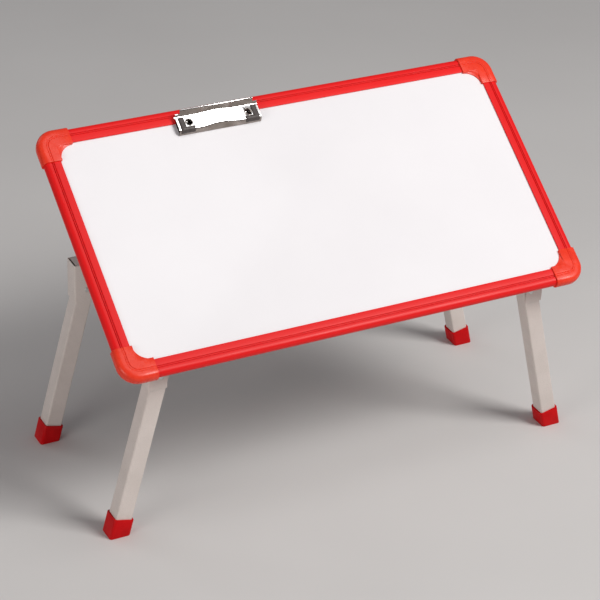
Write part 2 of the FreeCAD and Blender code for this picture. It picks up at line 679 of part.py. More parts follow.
def hinge_pins():
    pin = at_hinge(rod((HINGE_X[0], 0, 0), (HINGE_X[1], 0, 0), PIN_RADIUS), False)
    return Part.Compound(pair(pin))


# ---- base frame ----
def rail(front_y):
    y = (front_y, front_y + RAIL_DEPTH)
    z = (RAIL_TOP - RAIL_HEIGHT, RAIL_TOP)
    bar = block((-RAIL_HALF, RAIL_HALF), y, z)
    bar = bar.makeFillet(RAIL_WALL, [edge for edge in bar.Edges if edge.Length > RAIL_HALF])
    hollow = block((-RAIL_HALF, RAIL_HALF), (y[0] + RAIL_WALL, y[1] - RAIL_WALL),
                   (z[0] + RAIL_WALL, z[1] - RAIL_WALL))
    return bar.cut(hollow)


def foot_bar_slot():
    """Slot for the foot bar, with a dip in its lower edge at each detent, right-hand web."""
    x = (CROSS_WEB, CROSS_WEB + CROSS_WALL)
    half = FOOT_BAR_RADIUS + SLOT_PLAY
    low = foot_bar_y(TILT) + SLOT_PLAY - BODY_GAP
    high = foot_bar_y(0) + SLOT_PLAY
    tools = [block(x, (low, high), (FOOT_BAR_Z - half, FOOT_BAR_Z + half))]
    tools += [rod((x[0], y, FOOT_BAR_Z), (x[1], y, FOOT_BAR_Z), half) for y in (low, high)]
    for tilt in DETENT_TILTS:
        place = (foot_bar_y(math.radians(tilt)), FOOT_BAR_Z - SLOT_PLAY - DETENT_DEPTH)
        tools.append(rod((x[0], *place), (x[1], *place), FOOT_BAR_RADIUS))
    return fused(tools)


def cross_member():
    """Channel between the rails, open outward, with the slotted web inside; right-hand one."""
    y = (FRONT_RAIL_Y + RAIL_DEPTH, REAR_RAIL_Y)
    top = RAIL_TOP - CROSS_DROP
    z = (top - CROSS_HEIGHT, top)
    x = (CROSS_WEB, CROSS_WEB + CROSS_FLANGE)
    bay = block((x[0] + CROSS_WALL, x[1]), y, (z[0] + CROSS_WALL, z[1] - CROSS_WALL))
    return cut(block(x, y, z), [bay, foot_bar_slot()])


def leg_rivet(rail_y):
    """Pivot rivet of a right-hand leg, through both flanges."""
    near = rail_y - BRACKET_WALL
    far = rail_y + RAIL_DEPTH + BRACKET_WALL
    shank = rod((PIVOT_X, near, PIVOT_Z), (PIVOT_X, far, PIVOT_Z), RIVET_RADIUS)
    heads = [dome((PIVOT_X, near, PIVOT_Z), (0, -1, 0), RIVET_HEAD_RADIUS, RIVET_HEAD),
             dome((PIVOT_X, far, PIVOT_Z), (0, 1, 0), RIVET_HEAD_RADIUS, RIVET_HEAD)]
    return fused([shank] + heads)


def leg_bracket(rail_y):
    """Channel over the end of a rail, open inward and downward; right-hand one."""
    outer = block((HALF_BASE - BRACKET_WIDTH, HALF_BASE),
                  (rail_y - BRACKET_WALL, rail_y + RAIL_DEPTH + BRACKET_WALL), (BRACKET_BOTTOM, RAIL_TOP))
    upright = [edge for edge in outer.Edges
               if edge.BoundBox.XMin > HALF_BASE - BRACKET_WALL and edge.BoundBox.ZLength > BRACKET_WALL]
    outer = outer.makeFillet(BRACKET_WALL, upright)
    inner = block((HALF_BASE - BRACKET_WIDTH, HALF_BASE - BRACKET_WALL), (rail_y, rail_y + RAIL_DEPTH),
                  (BRACKET_BOTTOM, RAIL_TOP))
    return cut(outer, [inner, leg_rivet(rail_y)])


# ---- legs ----
LEG_REACH = 2 * PIVOT_Z     # longer than any leg, trimmed at the floor


def leg_bar(side, rounding, top, floor, rail_y):
    """Splayed square bar of a right-hand leg, from a distance above its pivot to a height."""
    bar = square_bar(side, rounding, (-LEG_REACH, top))
    bar.rotate(V(0, 0, 0), V(0, 1, 0), -LEG_SPLAY)
    bar.translate(V(PIVOT_X, rail_y + RAIL_DEPTH / 2, PIVOT_Z))
    size = LEG_REACH
    return bar.cut(block((-size, 2 * size), (-size, size), (-2 * size, floor)))


def leg_tube(rail_y):
    outer = leg_bar(LEG_SIZE, LEG_ROUNDING, LEG_HEAD, FOOT_SOLE, rail_y)
    inner = leg_bar(LEG_SIZE - 2 * LEG_WALL, LEG_ROUNDING - LEG_WALL, LEG_HEAD, FOOT_SOLE, rail_y)
    far_y = rail_y + RAIL_DEPTH
    bore = rod((PIVOT_X, rail_y, PIVOT_Z), (PIVOT_X, far_y, PIVOT_Z), RIVET_RADIUS + RUNNING_FIT)
    return cut(outer, [inner, bore])


def foot_cap(rail_y):
    top = -(PIVOT_Z - FOOT_HEIGHT) / math.cos(SPLAY)
    cap = leg_bar(LEG_SIZE + 2 * FOOT_WALL, FOOT_ROUNDING, top, 0, rail_y)
    return cap.cut(leg_bar(LEG_SIZE, LEG_ROUNDING, LEG_HEAD, FOOT_SOLE, rail_y))


# ---- prop, drawn flat from its pivot at the origin along +Y ----
def at_prop_pivot(shape, turned):
    """Move a shape drawn round the prop's pivot to the board; turned, it points at the foot bar."""
    y, z = board_point(HINGE_PLACE + PROP_PLACE, -PANEL - PROP_DROP)
    placed = shape.copy()
    angle = -math.degrees(CRANK_UP + ARM_LEAD) if turned else BOARD_TILT
    placed.rotate(V(0, 0, 0), V(1, 0, 0), angle)
    placed.translate(V(0, HINGE_Y + y, HINGE_HEIGHT + z))
    return placed


def prop_arm():
    x = (ARM_X - PROP_ARM, ARM_X)
    half = PROP_ARM_WIDTH / 2
    bar = block(x, (0, ARM_LENGTH), (-half, half))
    ends = [rod((x[0], y, 0), (x[1], y, 0), half) for y in (0, ARM_LENGTH)]
    holes = [rod((x[0], 0, 0), (x[1], 0, 0), PROP_PIN_RADIUS + RUNNING_FIT),
             rod((x[0], ARM_LENGTH, 0), (x[1], ARM_LENGTH, 0), FOOT_BAR_RADIUS)]
    return at_prop_pivot(cut(fused([bar] + ends), holes), True)


def prop_foot_bar():
    reach = CROSS_WEB + CROSS_WALL + FOOT_BAR_END
    y = foot_bar_y(TILT)
    return rod((-reach, y, FOOT_BAR_Z), (reach, y, FOOT_BAR_Z), FOOT_BAR_RADIUS)


def foot_bar_retainers():
    start = CROSS_WEB + CROSS_WALL + BODY_GAP
    y = foot_bar_y(TILT)
    ring = rod((start, y, FOOT_BAR_Z), (start + RETAINER, y, FOOT_BAR_Z), RETAINER_RADIUS)
    return Part.Compound(pair(ring.cut(prop_foot_bar())))


def prop_pin():
    low = ARM_X - PROP_ARM - BODY_GAP - PROP_EAR
    high = ARM_X + BODY_GAP + PROP_EAR
    shank = rod((low, 0, 0), (high, 0, 0), PROP_PIN_RADIUS)
    heads = [dome((low, 0, 0), (-1, 0, 0), PROP_PIN_HEAD_RADIUS, PROP_PIN_HEAD),
             dome((high, 0, 0), (1, 0, 0), PROP_PIN_HEAD_RADIUS, PROP_PIN_HEAD)]
    return at_prop_pivot(fused([shank] + heads), False)


def prop_bracket_rivet(end):
    """Rivet through the bracket's plate into the panel, beside the ears."""
    x = ARM_X - PROP_ARM / 2
    y = end * PROP_RIVET_SPAN / 2
    low = PROP_DROP - PROP_PLATE
    shank = rod((x, y, low), (x, y, low + PROP_PLATE + LEAF_RIVET_DEPTH), LEAF_RIVET_RADIUS)
    head = dome((x, y, low), (0, 0, -1), FLUSH_HEAD_RADIUS, BODY_GAP)
    return at_prop_pivot(fused([shank, head]), False)


def prop_bracket_rivets():
    return [rivet for end in (-1, 1) for rivet in pair(prop_bracket_rivet(end))]


def prop_bracket():
    """Plate under the panel with two ears round the prop's pivot pin."""
    low = ARM_X - PROP_ARM - BODY_GAP
    high = ARM_X + BODY_GAP
    half = PROP_ARM_WIDTH / 2
    plate = block((low - PROP_EAR, high + PROP_EAR), (-PROP_PLATE_LENGTH / 2, PROP_PLATE_LENGTH / 2),
                  (PROP_DROP - PROP_PLATE, PROP_DROP))
    ears = []
    for x in ((low - PROP_EAR, low), (high, high + PROP_EAR)):
        ears += [block(x, (-half, half), (0, PROP_DROP)), rod((x[0], 0, 0), (x[1], 0, 0), half)]
    bracket = at_prop_pivot(fused([plate] + ears), False)
    return cut(bracket, prop_bracket_rivets() + [prop_pin()])


# ---- every node of the object ----
def all_nodes():
    leaf_holes = board_leaf_rivets() + prop_bracket_rivets()
    holes = clip_rivets()
    nodes = {"writing_surface": panel_layer(0, LAMINATE, holes),
             "core_panel": cut(panel_layer(-LAMINATE, CORE, holes), leaf_holes),
             "back_sheet": cut(panel_layer(-LAMINATE - CORE, BACKING, holes), leaf_holes)}
    for side in ("front", "rear", "left", "right"):
        nodes["frame_" + side] = frame_side(side)
    for corner in CORNERS:
        nodes["corner_cap_" + corner] = corner_cap(corner)
    screws = [on_board(screw) for corner in CORNERS for screw in corner_screws(corner)]
    nodes["corner_cap_screws"] = Part.Compound(screws)
    nodes["clip_base"] = clip_base()
    nodes["clip_rivets"] = on_board(Part.Compound(clip_rivets()))
    nodes["clip_hinge_pin"] = on_board(clip_pin_rod(CLIP_PIN_RADIUS))
    nodes["clip_spring"] = clip_spring()
    nodes["clip_jaw"] = clip_jaw()
    nodes["clip_grips"] = clip_grips()
    nodes["hinge_board_leaves"] = hinge_board_leaves()
    nodes["hinge_board_rivets"] = Part.Compound(board_leaf_rivets())
    nodes["hinge_rail_leaves"] = hinge_rail_leaves()
    nodes["hinge_rail_rivets"] = Part.Compound(rail_leaf_rivets())
    nodes["hinge_pins"] = hinge_pins()
    nodes["front_rail"] = cut(rail(FRONT_RAIL_Y), rail_leaf_rivets())
    nodes["rear_rail"] = rail(REAR_RAIL_Y)
    nodes["cross_member_right"] = cross_member()
    nodes["cross_member_left"] = mirrored(cross_member())
    nodes["prop_arm_right"] = prop_arm()
    nodes["prop_arm_left"] = mirrored(prop_arm())
    nodes["prop_foot_bar"] = prop_foot_bar()
    nodes["foot_bar_retainers"] = foot_bar_retainers()
    nodes["prop_brackets"] = Part.Compound(pair(prop_bracket()))
    nodes["prop_bracket_rivets"] = Part.Compound(prop_bracket_rivets())
    nodes["prop_pivot_pins"] = Part.Compound(pair(prop_pin()))
    rivets = []
    for end, rail_y in (("front", FRONT_RAIL_Y), ("rear", REAR_RAIL_Y)):
        for name, piece in (("leg_bracket_", leg_bracket(rail_y)), ("leg_", leg_tube(rail_y)),
                            ("foot_cap_", foot_cap(rail_y))):
            nodes[name + end + "_right"] = piece
            nodes[name + end + "_left"] = mirrored(piece)
        rivets += pair(leg_rivet(rail_y))
    nodes["leg_pivot_rivets"] = Part.Compound(rivets)
    return nodes


os.makedirs("parts", exist_ok=True)
for node, shape in all_nodes().items():
    shape.exportStep("parts/" + node + ".step")
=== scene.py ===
import json
import math

import bpy
from mathutils import Matrix, Vector


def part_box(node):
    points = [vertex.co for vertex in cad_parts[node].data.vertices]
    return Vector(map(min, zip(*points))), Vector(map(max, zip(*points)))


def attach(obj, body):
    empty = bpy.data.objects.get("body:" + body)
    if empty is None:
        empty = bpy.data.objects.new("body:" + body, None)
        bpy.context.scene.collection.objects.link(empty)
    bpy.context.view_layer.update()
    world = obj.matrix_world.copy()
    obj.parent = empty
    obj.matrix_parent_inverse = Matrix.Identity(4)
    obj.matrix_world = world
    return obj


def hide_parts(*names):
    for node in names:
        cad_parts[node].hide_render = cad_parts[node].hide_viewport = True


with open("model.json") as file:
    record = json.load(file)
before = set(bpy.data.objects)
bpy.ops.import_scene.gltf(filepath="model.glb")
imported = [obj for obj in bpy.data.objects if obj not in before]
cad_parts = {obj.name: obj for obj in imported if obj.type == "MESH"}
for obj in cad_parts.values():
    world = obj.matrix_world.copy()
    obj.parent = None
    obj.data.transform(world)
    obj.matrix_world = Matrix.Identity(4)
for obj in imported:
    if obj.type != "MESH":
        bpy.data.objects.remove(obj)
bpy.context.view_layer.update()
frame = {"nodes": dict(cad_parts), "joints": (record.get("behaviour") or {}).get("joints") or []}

# Portable drawing board. Shapes are drawn in millimetres and placed in the model's frame in metres.
MM = 0.001
JOINTS = {joint["name"]: joint for joint in frame["joints"]}

# ---- sizes of the board, its frame and its base, in millimetres ----
WHITE_LENGTH = 540.2
WHITE_WIDTH = 271.0
PANEL_GRIP = 7.6
PANEL = 4.0
PROFILE_WIDTH = 19.1
PROFILE_RISE = 1.6
PROFILE_DEPTH = 12.0
PROFILE_WALL = 1.2
PROFILE_FLAT = 0.3        # half the flat between the two roundings of the outer wall
LOWER_LIP = 5.0
WHITE_LIP_TUCK = 1.6      # return under the profile's inner edge, over the white face
WHITE_LIP_GAP = 0.45
GROOVE_PLACE = 8.2
GROOVE_WIDTH = 0.9
GROOVE_SLANT = 0.15
SLOT_DEPTH = 1.3
BEAD_WIDTH = 1.0
CAP_WALL = 1.8
CAP_ARM = 20.0
CAP_OVERLAP = 14.5
CAP_OUTER_RADIUS = 22.8
CAP_WEB = 1.2
CAP_ROUNDING = 6.5
CAP_GROOVE = 0.85
CAP_LINE_OFFSET = 2.1     # second, finer line on the cap, from the first
CAP_LINE_WIDTH = 0.7
WEB_SLOPE = 6.5           # distance over which the web rises into the elbow
HINGE_PLACE = 8.0
HINGE_BELOW = 6.8
LEG_SIZE = 20.0
FOOT_WALL = 2.0
FOOT_HEIGHT = 22.0
FOOT_ROUNDING = 3.2
LEG_SPLAY = 14.0
BRACKET_WALL = 1.2
BRACKET_EDGE = 0.25

# ---- sizes of the paper clip, in millimetres ----
CLIP_CENTRE = -75.1
CLIP_HALF = 51.0
CLIP_SHEET = 0.8
CLIP_PIN_PLACE = 3.5
CLIP_PIN_HEIGHT = 4.4
CLIP_EAR_RADIUS = 1.9
CLIP_EAR_INSET = 1.9
JAW_MIDDLE = 7.0
JAW_FRONT = 15.2
JAW_FRONT_HEIGHT = 0.7
JAW_RUN = 2.4
JAW_BEND = 2.6
HUMP_REACH = 27.0         # half the length of the humps in the jaw's two edges
HUMP_FRONT = 2.8
HUMP_REAR = 1.7
LIP_REAR = 9.2
LIP_RUN = 4.2
LIP_BEND = 2.0
LIP_HEIGHT = 13.8
LIP_INSET = 5.6
LIP_TAB_RISE = 2.8
LIP_BEAD = 0.8
LIP_CUT = (5.0, 12.0, 20.0)     # past the end, behind the bend, and highest point of the cut
WINDOW_OFFSET = 36.8
WINDOW_PLACE = 4.0
WINDOW_RADIUS = 4.0
WINDOW_CUT = 3.0
WINDOW_SIDES = 40
RIM_INSET = 0.12
GRIP_LENGTH = 17.7
GRIP_DEPTH = 7.2
GRIP_ARM_WIDTH = 7.0
GRIP_END_GAP = 2.0
GRIP_ARM_STEP = 0.3
GRIP_ARM_START = 1.6
GRIP_FOOT_LOW = 2.8
GRIP_FOOT_PAD = 1.2
GRIP_ARM_PAD = 1.35
GRIP_ROUNDING = 2.4
GRIP_RIM = 0.1            # share of the pad's height that is left at its edges
PAINTED_SHADE_BELOW = 0.75       # a jaw face that faces up less than this takes the darker chrome: painted shade and painted dark reflection

HALF_WHITE = WHITE_LENGTH / 2
TILT = math.radians(-JOINTS["board_tilt"]["range_deg"][0])
SPLAY = math.radians(LEG_SPLAY)
HINGE = Vector(JOINTS["board_tilt"]["pos_m"])

# From the flat drawing of the board (x, up the slope, above the white face) to its place.
BOARD = (Matrix.Translation(HINGE) @ Matrix.Rotation(TILT, 4, "X") @ Matrix.Scale(MM, 4)
         @ Matrix.Translation((0, -HINGE_PLACE, HINGE_BELOW)))
FLAT = Matrix.Scale(MM, 4)


# ---- materials ----
EVEN = (1, 1, 1)


def field(tree, cell, stretch, turn, detail):
    """Noise with features about cell millimetres wide, stretched along axes turned about X."""
    place = tree.nodes.new("ShaderNodeTexCoord")
    mapping = tree.nodes.new("ShaderNodeMapping")
    mapping.vector_type = "TEXTURE"
    mapping.inputs["Rotation"].default_value = (turn, 0, 0)
    mapping.inputs["Scale"].default_value = stretch
    tree.links.new(place.outputs["Object"], mapping.inputs["Vector"])
    noise = tree.nodes.new("ShaderNodeTexNoise")
    noise.inputs["Scale"].default_value = 1 / (cell * MM)
    noise.inputs["Detail"].default_value = detail
    tree.links.new(mapping.outputs["Vector"], noise.inputs["Vector"])
    return noise.outputs[0]


def spread(tree, source, low, high, begin=0.3, end=0.7):
    """Stretch a field's middle range over low to high."""
    node = tree.nodes.new("ShaderNodeMapRange")
    for name, value in (("From Min", begin), ("From Max", end), ("To Min", low), ("To Max", high)):
        node.inputs[name].default_value = value
    tree.links.new(source, node.inputs["Value"])
    return node.outputs["Result"]


def blend(tree, factor, first, second):
    """Mix of two colours, each a tuple or a socket."""
    node = tree.nodes.new("ShaderNodeMix")
    node.data_type = "RGBA"
    tree.links.new(factor, node.inputs["Factor"])
    for socket, value in ((node.inputs[6], first), (node.inputs[7], second)):
        if isinstance(value, tuple):
            socket.default_value = (*value, 1)
        else:
            tree.links.new(value, socket)
    return node.outputs[2]


def relief(tree, shader, source, height):
    """Add bumps of a height in millimetres to a shader."""
    bump = tree.nodes.new("ShaderNodeBump")
    bump.inputs["Distance"].default_value = height * MM
    tree.links.new(source, bump.inputs["Height"])
    normal = shader.inputs["Normal"]
    if normal.is_linked:
        tree.links.new(normal.links[0].from_socket, bump.inputs["Normal"])
    tree.links.new(bump.outputs["Normal"], normal)


def start(name, **values):
    """New material, its node tree and its shader, with values set on the shader."""
    material = bpy.data.materials.new(name)
    material.use_nodes = True
    shader = material.node_tree.nodes["Principled BSDF"]
    for key, value in values.items():
        shader.inputs[key.replace("_", " ")].default_value = value
    return material, material.node_tree, shader


def colour_by(tree, shader, factor, first, second):
    """Colour a shader between two colours by a factor."""
    tree.links.new(blend(tree, factor, first, second), shader.inputs["Base Color"])


def roughness_by(tree, shader, source):
    """Take a shader's roughness from a field."""
    tree.links.new(source, shader.inputs["Roughness"])


def white_laminate():
    """Glossy white board face with faint wipe marks along its length."""
    material, tree, shader = start("white_laminate", Specular_IOR_Level=0.14, Coat_Weight=0.25,
                                   Coat_Roughness=0.08)
    cloud = spread(tree, field(tree, 90, EVEN, TILT, 4), 0, 1)
    colour_by(tree, shader, cloud, (0.846, 0.826, 0.846), (0.866, 0.846, 0.866))
    wipes = field(tree, 14, (7, 1, 1), TILT, 5)
    roughness_by(tree, shader, spread(tree, wipes, 0.18, 0.24))
    relief(tree, shader, field(tree, 1.6, EVEN, TILT, 2), 0.004)
    return material


def red_profile(along_x):
    """Satin plastic extrusion with die lines along its length."""
    name = "red_profile_x" if along_x else "red_profile_slope"
    material, tree, shader = start(name, Specular_IOR_Level=0.2)
    stretch = (60, 1, 1) if along_x else (1, 60, 1)
    lines = field(tree, 0.7, stretch, TILT, 3)
    cloud = spread(tree, field(tree, 25, stretch, TILT, 3), 0, 1)
    colour_by(tree, shader, cloud, (0.74, 0.009, 0.010), (0.82, 0.014, 0.014))
    roughness_by(tree, shader, spread(tree, lines, 0.30, 0.48))
    relief(tree, shader, lines, 0.02)
    relief(tree, shader, field(tree, 0.5, EVEN, TILT, 2), 0.006)
    return material


def moulded_plastic(name, first, second, gloss, roughness, grain):
    """Injection-moulded plastic, slightly wavy and finely grained."""
    material, tree, shader = start(name, Specular_IOR_Level=gloss)
    cloud = spread(tree, field(tree, 12, EVEN, 0, 4), 0, 1)
    colour_by(tree, shader, cloud, first, second)
    patches = field(tree, 5, EVEN, 0, 5)
    roughness_by(tree, shader, spread(tree, patches, roughness, roughness + 0.12))
    relief(tree, shader, field(tree, 0.45, EVEN, 0, 2), grain)
    relief(tree, shader, field(tree, 6, EVEN, 0, 1), 0.05)
    return material


def powder_coat():
    """Warm light grey powder coat with darker specks and an orange-peel surface."""
    material, tree, shader = start("grey_powder_coat")
    tone = spread(tree, field(tree, 30, EVEN, 0, 4), 0, 1)
    colour = blend(tree, tone, (0.64, 0.57, 0.53), (0.70, 0.625, 0.585))
    specks = spread(tree, field(tree, 0.8, EVEN, 0, 1), 0, 1, 0.62, 0.72)
    colour_by(tree, shader, specks, colour, (0.50, 0.455, 0.42))
    roughness_by(tree, shader, spread(tree, field(tree, 9, EVEN, 0, 5), 0.36, 0.52))
    relief(tree, shader, field(tree, 1.1, EVEN, 0, 2), 0.05)
    relief(tree, shader, field(tree, 0.3, EVEN, 0, 1), 0.01)
    return material


def plated_steel(name, first, second, low, high, cell):
    """Plated steel, clouded between two tones and two roughnesses."""
    material, tree, shader = start(name, Metallic=1.0)
    tone = spread(tree, field(tree, cell, EVEN, 0, 4), 0, 1)
    colour_by(tree, shader, tone, first, second)
    roughness_by(tree, shader, spread(tree, field(tree, cell / 3, EVEN, 0, 4), low, high))
    relief(tree, shader, field(tree, cell / 6, EVEN, 0, 2), 0.004)
    return material


def rubber():
    """Dark grey, finely grained rubber."""
    material, tree, shader = start("grip_rubber_dark")
    cloud = spread(tree, field(tree, 4, EVEN, 0, 4), 0, 1)
    colour_by(tree, shader, cloud, (0.05, 0.040, 0.037), (0.078, 0.064, 0.06))
    roughness_by(tree, shader, spread(tree, field(tree, 2, EVEN, 0, 4), 0.42, 0.62))
    relief(tree, shader, field(tree, 0.35, EVEN, 0, 2), 0.03)
    return material


def pressed_fibre():
    """Brown hardboard with short fibres."""
    material, tree, shader = start("pressed_fibre")
    fibres = spread(tree, field(tree, 1.2, (5, 1, 1), 0, 6), 0, 1)
    colour_by(tree, shader, fibres, (0.22, 0.135, 0.075), (0.40, 0.27, 0.16))
    roughness_by(tree, shader, spread(tree, field(tree, 3, EVEN, 0, 3), 0.6, 0.8))
    relief(tree, shader, field(tree, 0.6, (3, 1, 1), 0, 4), 0.08)
    return material


def grey_backing():
    """Matt grey sheet glued to the back of the board."""
    material, tree, shader = start("grey_backing_sheet")
    cloud = spread(tree, field(tree, 40, EVEN, TILT, 5), 0, 1)
    colour_by(tree, shader, cloud, (0.46, 0.455, 0.45), (0.54, 0.535, 0.53))
    roughness_by(tree, shader, spread(tree, field(tree, 8, (1, 3, 1), TILT, 4), 0.5, 0.68))
    relief(tree, shader, field(tree, 1.4, EVEN, TILT, 2), 0.05)
    return material


WHITE = white_laminate()
RED_X = red_profile(True)
RED_SLOPE = red_profile(False)
CAP = moulded_plastic("moulded_cap_red", (0.78, 0.036, 0.015), (0.86, 0.052, 0.023),
                      0.28, 0.22, 0.008)
FOOT = moulded_plastic("moulded_foot_red", (0.50, 0.001, 0.003), (0.60, 0.003, 0.005),
                       0.14, 0.3, 0.02)
PAINT = powder_coat()
CHROME = plated_steel("polished_chrome", (0.74, 0.73, 0.72), (0.84, 0.83, 0.82), 0.05, 0.14, 8)
# Darker copy of the chrome: painted shade and painted dark reflection for the jaw's lip, walls, ears and
# window rims
CHROME_PAINTED_SHADE = plated_steel("chrome_painted_shade", (0.27, 0.235, 0.21), (0.40, 0.355, 0.325), 0.06, 0.16, 8)
ZINC = plated_steel("zinc_plate", (0.52, 0.52, 0.51), (0.66, 0.66, 0.64), 0.26, 0.44, 4)
RUBBER = rubber()
FIBRE = pressed_fibre()
BACKING = grey_backing()


# ---- mesh helpers ----
SHARP = 32      # degrees between faces from which an edge is drawn sharp


def rounded(corners, steps=5):
    """Closed outline of (across, up, radius) corners, each rounded off to its radius."""
    points = []
    count = len(corners)
    for i, (across, up, radius) in enumerate(corners):
        here = Vector((across, up))
        if radius == 0:
            points.append(here)
            continue
        before = (Vector(corners[i - 1][:2]) - here).normalized()
        after = (Vector(corners[(i + 1) % count][:2]) - here).normalized()
        half = before.angle(after) / 2
        centre = here + (before + after).normalized() * (radius / math.sin(half))
        first = here + before * (radius / math.tan(half)) - centre
        last = here + after * (radius / math.tan(half)) - centre
        turn = math.atan2(first.x * last.y - first.y * last.x, first.dot(last))
        for k in range(steps + 1):
            spin = Matrix.Rotation(turn * k / steps, 2)
            points.append(centre + spin @ first)
    return points


def loft(loops, closed=False):
    """Vertices and faces of a skin over loops of the same length, with both ends filled."""
    size = len(loops[0])
    vertices = [point for loop in loops for point in loop]
    faces = []
    rings = len(loops) if closed else len(loops) - 1
    for i in range(rings):
        a, b = i * size, ((i + 1) % len(loops)) * size
        for j in range(size):
            k = (j + 1) % size
            faces.append((a + j, a + k, b + k, b + j))
    if not closed:
        faces.append(tuple(range(size))[::-1])
        faces.append(tuple(range((len(loops) - 1) * size, len(loops) * size)))
    return vertices, faces


def joined(meshes):
    """One set of vertices and faces from several."""
    vertices, faces = [], []
    for some_vertices, some_faces in meshes:
        base = len(vertices)
        vertices += some_vertices
        faces += [tuple(base + i for i in face) for face in some_faces]
    return vertices, faces


def solid(name, mesh_data):
    """New object from vertices and faces."""
    mesh = bpy.data.meshes.new(name)
    vertices, faces = mesh_data
    mesh.from_pydata(vertices, [], faces)
    thing = bpy.data.objects.new(name, mesh)
    bpy.context.scene.collection.objects.link(thing)
    return thing


def piece(name, mesh_data, place, material, body, nodes=()):
    """New object at a place, riding on a body and standing for CAD nodes."""
    thing = solid(name, mesh_data)
    mesh = thing.data
    mesh.transform(place)
    if place.determinant() < 0:
        mesh.flip_normals()
    mesh.validate()
    mesh.materials.append(material)
    mesh.shade_smooth()
    mesh.set_sharp_from_angle(angle=math.radians(SHARP))
    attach(thing, body)
    if nodes:
        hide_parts(*nodes)
    return thing


def paint_node(node, material):
    """Give a CAD piece that stays its material."""
    mesh = frame["nodes"][node].data
    mesh.materials.clear()
    mesh.materials.append(material)


# ---- frame profiles and corner caps, in the flat drawing of the board ----
def profile_section():
    """Outline of the profile: outward from the white edge, and up from the white face."""
    top, low, out = PROFILE_RISE, PROFILE_RISE - PROFILE_DEPTH, PROFILE_WIDTH
    soft = PROFILE_DEPTH / 2 - PROFILE_FLAT
    lip = PANEL_GRIP - LOWER_LIP
    tuck, gap = WHITE_LIP_TUCK, WHITE_LIP_GAP
    corners = [(tuck, 0, 0), (tuck, gap, 0.1), (0, gap + 0.1, 0.15), (0, top, 0.6)]
    for number in (0, 1):
        near = GROOVE_PLACE + number * (GROOVE_WIDTH + BEAD_WIDTH)
        far = near + GROOVE_WIDTH
        corners += [(near, top, 0.25), (near + GROOVE_SLANT, top - SLOT_DEPTH, 0.1),
                    (far - GROOVE_SLANT, top - SLOT_DEPTH, 0.1), (far, top, 0.25)]
    web = PANEL_GRIP + PROFILE_WALL
    corners += [(out, top, soft), (out, low, soft), (web, low, 0.4),
                (web, -PANEL - PROFILE_WALL, 0.4), (lip, -PANEL - PROFILE_WALL, 0.4),
                (lip, -PANEL, 0.2), (PANEL_GRIP, -PANEL, 0), (PANEL_GRIP, 0, 0)]
    return rounded(corners, 5)


def cap_section(grow, groove):
    """Outline of a corner cap round the profile, grown from it by a distance."""
    top, out = PROFILE_RISE + grow, PROFILE_WIDTH + grow
    low = PROFILE_RISE - PROFILE_DEPTH - grow
    share = grow / CAP_WALL
    soft = PROFILE_DEPTH / 2 - PROFILE_FLAT
    soft += share * (CAP_ROUNDING - soft)
    lip = PANEL_GRIP - LOWER_LIP
    line = GROOVE_PLACE
    fine = line + CAP_LINE_OFFSET
    slack = 0.15 * (1 - share)
    corners = [(-grow, slack, 0), (-grow, top - 0.1, 0.3 + 0.5 * share),
               (line, top, 0.2), (line + GROOVE_WIDTH / 2, top - groove, 0.1),
               (line + GROOVE_WIDTH, top, 0.2), (fine, top, 0.12),
               (fine + CAP_LINE_WIDTH / 2, top - groove / 2, 0.06), (fine + CAP_LINE_WIDTH, top, 0.12),
               (out, top, soft), (out, low, soft), (lip, low, 0.3),
               (lip + slack, -PANEL - slack, 0), (PANEL_GRIP + slack, -PANEL - slack, 0),
               (PANEL_GRIP + slack, slack, 0)]
    return rounded(corners, 6)


SIDES = {"right": (0, (HALF_WHITE, WHITE_WIDTH / 2)), "rear": (90, (0, WHITE_WIDTH)),
         "left": (180, (-HALF_WHITE, WHITE_WIDTH / 2)), "front": (270, (0, 0))}
CORNERS = {"front_left": (-1, -1), "front_right": (1, -1), "rear_left": (-1, 1), "rear_right": (1, 1)}


def make_profile(side):
    """One straight length of the frame, between the mouths of two corner caps."""
    angle, middle = SIDES[side]
    along_x = side in ("front", "rear")
    reach = (HALF_WHITE if along_x else WHITE_WIDTH / 2) - (CAP_ARM - CAP_OVERLAP)
    section = profile_section()
    loops = [[(point.x, along, point.y) for point in section] for along in (-reach, reach)]
    place = Matrix.Translation((*middle, 0)) @ Matrix.Rotation(math.radians(angle), 4, "Z")
    piece("extruded_frame_" + side, loft(loops), BOARD @ place, RED_X if along_x else RED_SLOPE,
          "board", ["frame_" + side])


def cap_sleeve():
    """Elbow for the rear right corner, with the white corner at the origin."""
    bend = CAP_OUTER_RADIUS - PROFILE_WIDTH - CAP_WALL
    # The mouth: place along the arm, growth from the profile and depth of the line.
    stations = ((CAP_ARM - 2.0, 0.12, 0.05), (CAP_ARM, 0.12, 0.05), (CAP_ARM, CAP_WALL - 0.35, 0.6),
                (CAP_ARM - 0.12, CAP_WALL - 0.1, CAP_GROOVE), (CAP_ARM - 0.4, CAP_WALL, CAP_GROOVE))
    steps = 16
    loops = []
    for along, grow, groove in stations:
        loops.append([(-along, point.x, point.y) for point in cap_section(grow, groove)])
    section = cap_section(CAP_WALL, CAP_GROOVE)
    for step in range(steps + 1):
        angle = math.radians(90 - 90 * step / steps)
        loops.append([(-bend + (bend + point.x) * math.cos(angle),
                       -bend + (bend + point.x) * math.sin(angle), point.y) for point in section])
    for along, grow, groove in reversed(stations):
        loops.append([(point.x, -along, point.y) for point in cap_section(grow, groove)])
    return loft(loops)


